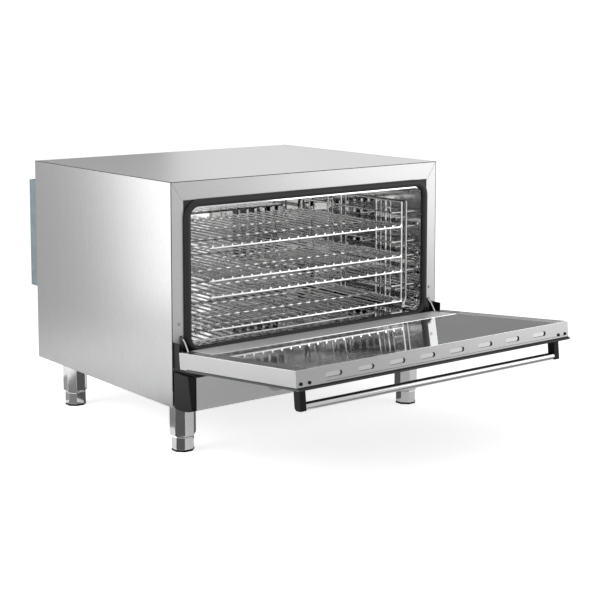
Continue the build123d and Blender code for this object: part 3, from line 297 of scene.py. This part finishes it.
# The finish of each material slot of the CAD, and of the nodes that differ from it
FINISHES = {
    "steel_case": side_steel,
    "steel_front": front_steel,
    "steel_door": door_steel,
    "steel_polished": polished,
    "galvanised": zinc,
    "steel_inner": side_steel,
    "chrome_wire": wire_chrome,
    "chrome_bar": bar_chrome,
    "black_moulded": moulded,
    "seal_rubber": rubber,
    "clear_glass": clear_glass,
    "mineral_wool": wool,
    "heater_sheath": sheath,
    "motor_metal": motor,
    "white_ceramic": ceramic,
    "indicator_lens": lens,
    "foot_metal": leg_steel,
}
OWN_FINISH = {
    "top_panel": lit_top_steel,
    "inner_glass": mirror_glass,
    "outer_glass": dark_glass,
    "legs": leg_chrome,
    "control_panel": panel_steel,
    "door_screws": moulded,
    "temperature_knob": bar_chrome,
    "timer_knob": bar_chrome,
}
slots = {}
for part in frame["record"]["subparts"]:
    slots[part["node"]] = part["material_slot"]
for name, node in frame["nodes"].items():
    finish = OWN_FINISH.get(name) or FINISHES.get(slots.get(name), side_steel)
    for index in range(len(node.data.materials)):
        node.data.materials[index] = finish


def settled(name, data, body, replaced=()):
    """A piece on a body and the nodes that it stands for."""
    made = placed(name, data)
    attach(made, body)
    if replaced:
        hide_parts(*replaced)
    return made


def mesh_piece(name, mesh, finishes, body, replaced=(), smooth=False, soft_edges=False):
    """A piece from mesh code, which is freed here."""
    data = bpy.data.meshes.new(name)
    mesh.to_mesh(data)
    mesh.free()
    if smooth:
        data.shade_smooth()
    for finish in finishes:
        data.materials.append(finish)
    made = settled(name, data, body, replaced)
    if soft_edges:
        soft = made.modifiers.new("soft_edges", "BEVEL")
        soft.width = SOFT_EDGE
        soft.segments = 2
        soft.limit_method = "ANGLE"
        soft.harden_normals = True


# Round wires in place of the few-sided ones, all sizes from here on in millimetres
RACK_WIRE = 3.2
MIDDLE_WIRE = 2.5
CROSS_WIRE = 2.4
LEDGE_WIRE = 2.6
BEND_STEPS = 5


def bent(corners, radius):
    """A run of places whose inner corners are turned into arcs."""
    run = [corners[0]]
    for before, corner, after in zip(corners, corners[1:], corners[2:]):
        start = corner + (before - corner).normalized() * radius
        end = corner + (after - corner).normalized() * radius
        for part in steps(0, 1, BEND_STEPS):
            run.append(start * (1 - part) ** 2 + corner * 2 * part * (1 - part) + end * part**2)
    run.append(corners[-1])
    return run


def wires(node, body, runs):
    """Stands for a node with one curve: each run is a list of places and a wire radius."""
    curve = bpy.data.curves.new(node + "_wires", "CURVE")
    curve.dimensions = "3D"
    curve.bevel_depth = 1 / MM
    curve.bevel_resolution = 2
    curve.use_fill_caps = True
    for places, radius in runs:
        spline = curve.splines.new("POLY")
        spline.points.add(len(places) - 1)
        for point, place in zip(spline.points, places):
            point.co = (*place, 1)
            point.radius = radius
    curve.materials.append(wire_chrome)
    settled(node + "_wires", curve, body, (node,))


# Racks: bars across, wires from front to back over them, and a rail at each side
RACK_COUNT = 4
RACK_FRONT, RACK_BACK = 3, 449
FRONT_BAR = 305.5
LONG_BAR = 332
RAIL_X = 328.5
RAIL_FRONT, RAIL_BACK = 60, 446
BAR_DEPTHS = (8, 150, 292, 434)
CROSS_COUNT = 22
CROSS_HALF = 299.5
CROSS_LIFT = 4.6
RAIL_DROP = 5.9


def across(half, depth, height, radius):
    """A straight run from side to side."""
    return ([at(-half, depth, height), at(half, depth, height)], radius)


def backward(x, front, rear, height, radius):
    """A straight run from front to back."""
    return ([at(x, front, height), at(x, rear, height)], radius)


for number in range(1, RACK_COUNT + 1):
    node = "rack_" + str(number)
    height = (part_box(node)[1].z - BASE) * MM - CROSS_LIFT - CROSS_WIRE
    middle = height - RACK_WIRE + MIDDLE_WIRE
    runs = [across(FRONT_BAR, BAR_DEPTHS[0], height, RACK_WIRE)]
    for depth in BAR_DEPTHS[1:-1]:
        runs.append(across(LONG_BAR, depth, middle, MIDDLE_WIRE))
    runs.append(across(LONG_BAR, BAR_DEPTHS[-1], height, RACK_WIRE))
    for x in steps(-CROSS_HALF, CROSS_HALF, CROSS_COUNT):
        runs.append(backward(x, RACK_FRONT, RACK_BACK, height + CROSS_LIFT, CROSS_WIRE))
    for x in (-RAIL_X, RAIL_X):
        runs.append(backward(x, RAIL_FRONT, RAIL_BACK, height - RAIL_DROP, RACK_WIRE))
    wires(node, node, runs)

# Side frames: uprights, a top and a bottom wire, seven ledges, and pads at the walls
UPRIGHT_X = 361
UPRIGHT_DEPTHS = (71, 136, 176, 329, 389, 475)
UPRIGHT_LOW, UPRIGHT_HIGH = 153, 423.5
LEDGE_X = 328
LEDGE_LOW, LEDGE_HIGH = 157, 397
LEDGE_COUNT = 7
LEDGE_BEND = 9
WALL_X = 368.7
PAD_HEIGHTS = (178, 402)
PAD_RADIUS = 8
PAD_THICKNESS = 1.2
front, rear = UPRIGHT_DEPTHS[0], UPRIGHT_DEPTHS[-1]
for side, word in ((-1, "left"), (1, "right")):
    x = side * UPRIGHT_X
    ledge_x = side * LEDGE_X
    runs = []
    for depth in UPRIGHT_DEPTHS:
        runs.append(([at(x, depth, UPRIGHT_LOW), at(x, depth, UPRIGHT_HIGH)], RACK_WIRE))
    for height in (UPRIGHT_LOW, UPRIGHT_HIGH):
        runs.append(backward(x, front, rear, height, LEDGE_WIRE))
    for height in steps(LEDGE_LOW, LEDGE_HIGH, LEDGE_COUNT):
        corners = [
            at(x, front, height),
            at(ledge_x, front, height),
            at(ledge_x, rear, height),
            at(x, rear, height),
        ]
        runs.append((bent(corners, LEDGE_BEND / MM), LEDGE_WIRE))
    for depth in (UPRIGHT_DEPTHS[1], UPRIGHT_DEPTHS[-2]):
        for height in PAD_HEIGHTS:
            wall = at(side * WALL_X, depth, height)
            pad = at(side * (WALL_X - PAD_THICKNESS), depth, height)
            runs.append(([at(x, depth, height), wall], CROSS_WIRE))
            runs.append(([pad, wall], PAD_RADIUS))
    wires("rack_support_" + word, "oven_body", runs)

# Eight-sided posts and feet, with softened edges and black soles
POST_LENGTH = 84
POST_HALF = 30
POST_TAPER, POST_TAPER_HEIGHT = 2.5, 4
FOOT_HALF = 26
FOOT_TOP = -84.3
FOOT_STEP = 0.6
FOOT_TAPER, FOOT_TAPER_HEIGHT = 2.5, 3
STEM_HALF = 8
STEM_TOP = -39.3
SOLE = 5
FLATS = 8
BRIGHT, SOLE_BLACK = 0, 1


def eight_sided(mesh, x, depth, rings, finishes):
    """Adds a post: each ring is half its width across flats and its height."""
    turn = math.tau / FLATS
    turns = [turn / 2 + turn * side for side in range(FLATS)]
    made = []
    for half, height in rings:
        reach = half / math.cos(turn / 2)
        places = [at(x + reach * math.cos(t), depth + reach * math.sin(t), height) for t in turns]
        made.append([mesh.verts.new(place) for place in places])
    for low, high, finish in zip(made, made[1:], finishes):
        for side in range(FLATS):
            after = (side + 1) % FLATS
            face = mesh.faces.new((low[side], low[after], high[after], high[side]))
            face.material_index = finish
    mesh.faces.new(list(reversed(made[0]))).material_index = finishes[0]
    mesh.faces.new(made[-1]).material_index = finishes[-1]


posts = bmesh.new()
for word in ("front_left", "front_right", "back_left", "back_right"):
    node = "foot_" + word
    low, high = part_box(node)
    x = (low.x + high.x) / 2 * MM
    depth = ((low.y + high.y) / 2 - FRONT) * MM
    ground = (low.z - BASE) * MM
    post_rings = [
        (POST_HALF - POST_TAPER, -POST_LENGTH),
        (POST_HALF, POST_TAPER_HEIGHT - POST_LENGTH),
        (POST_HALF, 0),
    ]
    eight_sided(posts, x, depth, post_rings, (BRIGHT, BRIGHT))
    foot = bmesh.new()
    foot_rings = [
        (FOOT_HALF, ground),
        (FOOT_HALF, ground + SOLE),
        (FOOT_HALF - FOOT_STEP, ground + SOLE),
        (FOOT_HALF - FOOT_STEP, FOOT_TOP - FOOT_TAPER_HEIGHT),
        (FOOT_HALF - FOOT_TAPER, FOOT_TOP),
        (STEM_HALF, FOOT_TOP),
        (STEM_HALF, STEM_TOP),
    ]
    foot_finishes = (SOLE_BLACK, SOLE_BLACK, BRIGHT, BRIGHT, BRIGHT, BRIGHT)
    eight_sided(foot, x, depth, foot_rings, foot_finishes)
    mesh_piece(
        "foot_piece_" + word, foot, (leg_chrome, moulded), node, (node,), soft_edges=True
    )
mesh_piece("leg_posts", posts, (leg_chrome,), "oven_body", ("legs",), soft_edges=True)

# Bulb seal round the mouth, swept round a rounded rectangle
SEAL_HALF_WIDTH = 376
SEAL_LOW, SEAL_HIGH = 131, 483
SEAL_CORNER = 33
SEAL_CORNER_STEPS = 9
SEAL_HALF = 9
SEAL_STAND = 9.5
SEAL_SHOULDER = 3
SEAL_ROOT = -1.5
SEAL_ROUND_STEPS = 9
SEAL_ROUND_START, SEAL_ROUND_END = math.radians(15), math.radians(165)
FLANGE_INSET = 0.5
FLANGE_PROUD, FLANGE_SUNK = -0.8, 0.3
SEAL_MIDDLE = (SEAL_LOW + SEAL_HIGH) / 2


def seal_profile():
    """The seal's section: across its width and out from the front frame."""
    rise = SEAL_STAND - SEAL_SHOULDER
    section = [(SEAL_HALF, SEAL_ROOT), (SEAL_HALF, SEAL_SHOULDER)]
    for angle in steps(SEAL_ROUND_START, SEAL_ROUND_END, SEAL_ROUND_STEPS):
        section.append((SEAL_HALF * math.cos(angle), SEAL_SHOULDER + rise * math.sin(angle)))
    return section + [(-SEAL_HALF, SEAL_SHOULDER), (-SEAL_HALF, SEAL_ROOT)]


def seal_path():
    """Places round the mouth with the outward direction at each."""
    half_height = (SEAL_HIGH - SEAL_LOW) / 2
    for side, up, first in ((1, 1, 0), (-1, 1, 90), (-1, -1, 180), (1, -1, 270)):
        corner_x = side * (SEAL_HALF_WIDTH - SEAL_CORNER)
        corner_z = SEAL_MIDDLE + up * (half_height - SEAL_CORNER)
        for angle in steps(first, first + 90, SEAL_CORNER_STEPS):
            out = (math.cos(math.radians(angle)), math.sin(math.radians(angle)))
            yield corner_x + SEAL_CORNER * out[0], corner_z + SEAL_CORNER * out[1], out


def seal():
    """The bulb itself, one ring of its section at each place of the path."""
    mesh = bmesh.new()
    section = seal_profile()
    rings = []
    for x, z, out in seal_path():
        ring = []
        for sideways, stand in section:
            place = at(x + sideways * out[0], -stand, z + sideways * out[1])
            ring.append(mesh.verts.new(place))
        rings.append(ring)
    for ring, after in zip(rings, rings[1:] + rings[:1]):
        for index in range(len(section) - 1):
            mesh.faces.new((ring[index], after[index], after[index + 1], ring[index + 1]))
        mesh.faces.new((ring[-1], after[-1], after[0], ring[0]))
    bmesh.ops.recalc_face_normals(mesh, faces=mesh.faces)
    return mesh


def seal_corners():
    """Flat rubber flange of the seal in the mouth's square corners outside the round ones; its black
    also paints the shade that falls there.
    """
    mesh = bmesh.new()
    places = [(x, z) for x, z, _ in seal_path()]
    reach = SEAL_HALF - FLANGE_INSET
    for start in range(0, len(places), SEAL_CORNER_STEPS):
        quarter = places[start : start + SEAL_CORNER_STEPS]
        first, last = quarter[0], quarter[-1]
        centre = quarter[SEAL_CORNER_STEPS // 2]
        outer_x = math.copysign(SEAL_HALF_WIDTH + reach, centre[0])
        outer_z = SEAL_HIGH + reach if centre[1] > SEAL_MIDDLE else SEAL_LOW - reach
        if abs(first[0]) < abs(last[0]):
            outline = quarter + [(outer_x, last[1]), (outer_x, outer_z), (first[0], outer_z)]
        else:
            outline = quarter + [(last[0], outer_z), (outer_x, outer_z), (outer_x, first[1])]
        front_ring = [mesh.verts.new(at(x, FLANGE_PROUD, z)) for x, z in outline]
        back_ring = [mesh.verts.new(at(x, FLANGE_SUNK, z)) for x, z in outline]
        mesh.faces.new(front_ring)
        mesh.faces.new(list(reversed(back_ring)))
        for index in range(len(outline)):
            after = (index + 1) % len(outline)
            mesh.faces.new((front_ring[after], front_ring[index], back_ring[index], back_ring[after]))
    bmesh.ops.recalc_face_normals(mesh, faces=mesh.faces)
    return mesh


mesh_piece(
    "bulb_seal", seal(), (rubber,), "oven_body", ("door_gasket",), smooth=True
)
# Dark flange in the mouth's corners: partly the seal's own rubber, partly painted shade of those
# corners
mesh_piece("seal_corners", seal_corners(), (rubber,), "oven_body")


def bar(mesh, low, high, place=at):
    """Adds a rectangular bar between two corners in the millimetres of place."""
    made = []
    for z in (low[2], high[2]):
        for x, y in ((low[0], low[1]), (high[0], low[1]), (high[0], high[1]), (low[0], high[1])):
            made.append(mesh.verts.new(place(x, y, z)))
    for face in ((3, 2, 1, 0), (4, 5, 6, 7), (0, 1, 5, 4), (1, 2, 6, 5), (2, 3, 7, 6), (3, 0, 4, 7)):
        mesh.faces.new([made[index] for index in face])


def both_sides(inner, outer):
    """The left and the right stretch between two distances from the middle."""
    return ((-outer, -inner), (inner, outer))


# Seam shadows where the folded panels meet
BODY_HALF = 419
BODY_TOP = (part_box("top_panel")[1].z - BASE) * MM
BODY_BACK = (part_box("side_panel_left")[1].y - FRONT) * MM
SEAM = 1.3
SEAM_BOTTOM = 40
SEAM_PROUD = 0.15
seam_top = BODY_TOP + SEAM_PROUD
seams = bmesh.new()
for left, right in both_sides(BODY_HALF - SEAM, BODY_HALF + SEAM_PROUD):
    bar(seams, (left, 0, BODY_TOP - SEAM), (right, BODY_BACK, seam_top))
    bar(seams, (left, -SEAM_PROUD, SEAM_BOTTOM), (right, SEAM, BODY_TOP))
bar(seams, (-BODY_HALF, -SEAM_PROUD, BODY_TOP - SEAM), (BODY_HALF, SEAM, seam_top))
mesh_piece("seam_shadows", seams, (gap_dark,), "oven_body")

# The open door's tilt, the corner of its inner face at the hinges, and its size
DOOR_TILT = math.radians(5.5)
DOOR_CORNER = (-27.71, 137.5)
DOOR_LENGTH = 450
DOOR_HALF = 418
DOOR_DEEP = 39


def on_door(x, along, out):
    """A place from millimetres across, along the open door and out from its inner face."""
    depth = DOOR_CORNER[0] - along * math.cos(DOOR_TILT) - out * math.sin(DOOR_TILT)
    height = DOOR_CORNER[1] + along * math.sin(DOOR_TILT) - out * math.cos(DOOR_TILT)
    return at(x, depth, height)


# Steel border on the door's inner face at the hinges
BORDER_START, BORDER_END = 1, 93
BORDER_HALF = 385
FACE_PROUD = -0.4
FACE_SUNK = 0.1
border = bmesh.new()
bar(border, (-BORDER_HALF, BORDER_START, FACE_PROUD), (BORDER_HALF, BORDER_END, FACE_SUNK), on_door)
mesh_piece("door_inner_border", border, (pale_steel,), "door")

# Painted highlight: bright chrome strips along the border's edge and the rim of the tray on three
# sides, standing in for the light that the folds catch
BORDER_FOLD = 3
BORDER_FOLD_PROUD = -0.45
RIM = 2
RIM_INSET = 0.2
RIM_END_GAP = 1
fold_end = BORDER_END + BORDER_FOLD
rim_start = DOOR_LENGTH - RIM_INSET - RIM
fold_highlights = bmesh.new()
bar(fold_highlights, (-BORDER_HALF, BORDER_END, BORDER_FOLD_PROUD), (BORDER_HALF, fold_end, FACE_SUNK), on_door)
for left, right in both_sides(DOOR_HALF - RIM, DOOR_HALF - RIM_INSET):
    bar(fold_highlights, (left, RIM, FACE_PROUD), (right, DOOR_LENGTH - RIM, FACE_SUNK), on_door)
rim_half = DOOR_HALF - RIM_END_GAP
rim_end = DOOR_LENGTH - RIM_INSET
bar(fold_highlights, (-rim_half, rim_start, FACE_PROUD), (rim_half, rim_end, FACE_SUNK), on_door)
mesh_piece("door_fold_highlights", fold_highlights, (wire_chrome,), "door")

# Strip of steel that shows through the vents of the free edge
STRIP_HALF = 375
STRIP_BACK, STRIP_FRONT = DOOR_LENGTH - 4.2, DOOR_LENGTH - 3.2
STRIP_TOP, STRIP_BOTTOM = 8, 30
strip = bmesh.new()
bar(strip, (-STRIP_HALF, STRIP_BACK, STRIP_TOP), (STRIP_HALF, STRIP_FRONT, STRIP_BOTTOM), on_door)
mesh_piece("vent_inner_strip", strip, (front_steel,), "door")

# Dark trim between the tray and the outer glass, and a thin line above it on the free edge
GLASS_TRIM = 3
GLASS_TRIM_START = 28
GLASS_TRIM_PROUD = 0.4
GLASS_TRIM_TOP, GLASS_TRIM_BOTTOM = DOOR_DEEP - 2.6, DOOR_DEEP + 0.2
LINE_LEFT, LINE_RIGHT = -340, DOOR_HALF - 14
LINE_BACK, LINE_FRONT = DOOR_LENGTH - 1, DOOR_LENGTH + 0.1
LINE_TOP, LINE_BOTTOM = DOOR_DEEP - 6.8, DOOR_DEEP - 6
trim_end = DOOR_LENGTH + GLASS_TRIM_PROUD
trim_low = (-DOOR_HALF, DOOR_LENGTH - GLASS_TRIM, GLASS_TRIM_TOP)
trim = bmesh.new()
for left, right in both_sides(DOOR_HALF - GLASS_TRIM, DOOR_HALF + GLASS_TRIM_PROUD):
    bar(trim, (left, GLASS_TRIM_START, GLASS_TRIM_TOP), (right, trim_end, GLASS_TRIM_BOTTOM), on_door)
bar(trim, trim_low, (DOOR_HALF, trim_end, GLASS_TRIM_BOTTOM), on_door)
bar(trim, (LINE_LEFT, LINE_BACK, LINE_TOP), (LINE_RIGHT, LINE_FRONT, LINE_BOTTOM), on_door)
mesh_piece("door_glass_trim", trim, (rubber,), "door")

# Stage, in metres: matt surfaces that also glow
STAGE_ROUGHNESS = 0.9
CARD_GREY = 0.02
CARD_LIFT = 0.001
FLOOR_GREY = 0.93
FLOOR_REACH = 8
FLOOR_GLOW = 0.72
FLOOR_IN_GLOSS = 0.6


def matt(name, grey):
    """A matt grey whose glow is white."""
    made, tree, shader = material(name, (grey, grey, grey), NO_METAL, STAGE_ROUGHNESS)
    shader.inputs["Specular IOR Level"].default_value = 0.0
    shader.inputs["Emission Color"].default_value = WHITE
    return made, tree, shader


def surface(name, corners, finish):
    """A flat four-cornered part of the stage."""
    data = bpy.data.meshes.new(name)
    data.from_pydata(corners, [], [(0, 1, 2, 3)])
    data.materials.append(finish)
    made = placed(name, data)
    made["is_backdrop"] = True
    return made


def card(name, corners, glow):
    """A card seen only in reflections, as a studio has."""
    finish, _, shader = matt(name, CARD_GREY)
    shader.inputs["Emission Strength"].default_value = glow
    made = surface(name, corners, finish)
    made.visible_camera = False
    made.visible_diffuse = False
    made.visible_transmission = False
    made.visible_shadow = False


def on_floor(*corners):
    """Corners just above the floor."""
    return [(x, y, CARD_LIFT) for x, y in corners]


def floor_box(left, front, right, rear):
    """A rectangle just above the floor."""
    return on_floor((left, front), (right, front), (right, rear), (left, rear))


# Cards, in turn for the top, the front leg, the door glass, the far legs, the back leg and the bar
card("back_flag", [(-0.6, 2.9, 0.75), (0.9, 1.95, 0.75), (0.9, 1.95, 2.0), (-0.6, 2.9, 2.0)], glow=0.32)
card("leg_flag", on_floor((-1.15, -0.35), (-0.75, -0.85), (-0.36, -0.14), (-0.42, -0.04)), glow=0.13)
card("side_flag", [(1.3, 1.6, 0.36), (3.3, 1.6, 0.36), (3.3, 1.6, 0.72), (1.3, 1.6, 0.72)], glow=0.24)
card("under_flag", floor_box(left=-0.33, front=-0.04, right=0.38, rear=0.52), glow=0.12)
card("left_flag", floor_box(left=-0.6, front=0.5, right=-0.4, rear=0.75), glow=0.45)
card("back_leg_flag", on_floor((-1.0, 0.0), (-0.6, -0.1), (-0.34, 0.42), (-0.42, 0.5)), glow=0.3)
card("bar_flag", floor_box(left=-0.2, front=-0.9, right=0.8, rear=-0.6), glow=0.38)

# Floor: pale, white to the camera except where the oven shades it, greyer in reflections
floor_finish, tree, shader = matt("floor", FLOOR_GREY)
floor_path = tree.nodes.new("ShaderNodeLightPath")
floor_seen = tree.nodes.new("ShaderNodeMath")
floor_seen.operation = "MULTIPLY_ADD"
floor_seen.inputs[1].default_value = FLOOR_IN_GLOSS
tree.links.new(floor_path.outputs["Is Glossy Ray"], floor_seen.inputs[0])
tree.links.new(floor_path.outputs["Is Camera Ray"], floor_seen.inputs[2])
floor_glow = tree.nodes.new("ShaderNodeMath")
floor_glow.operation = "MULTIPLY"
floor_glow.inputs[1].default_value = FLOOR_GLOW
tree.links.new(floor_seen.outputs[0], floor_glow.inputs[0])
tree.links.new(floor_glow.outputs[0], shader.inputs["Emission Strength"])
floor_corners = [
    (-FLOOR_REACH, -FLOOR_REACH, 0),
    (FLOOR_REACH, -FLOOR_REACH, 0),
    (FLOOR_REACH, FLOOR_REACH, 0),
    (-FLOOR_REACH, FLOOR_REACH, 0),
]
surface("floor", floor_corners, floor_finish)

low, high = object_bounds()
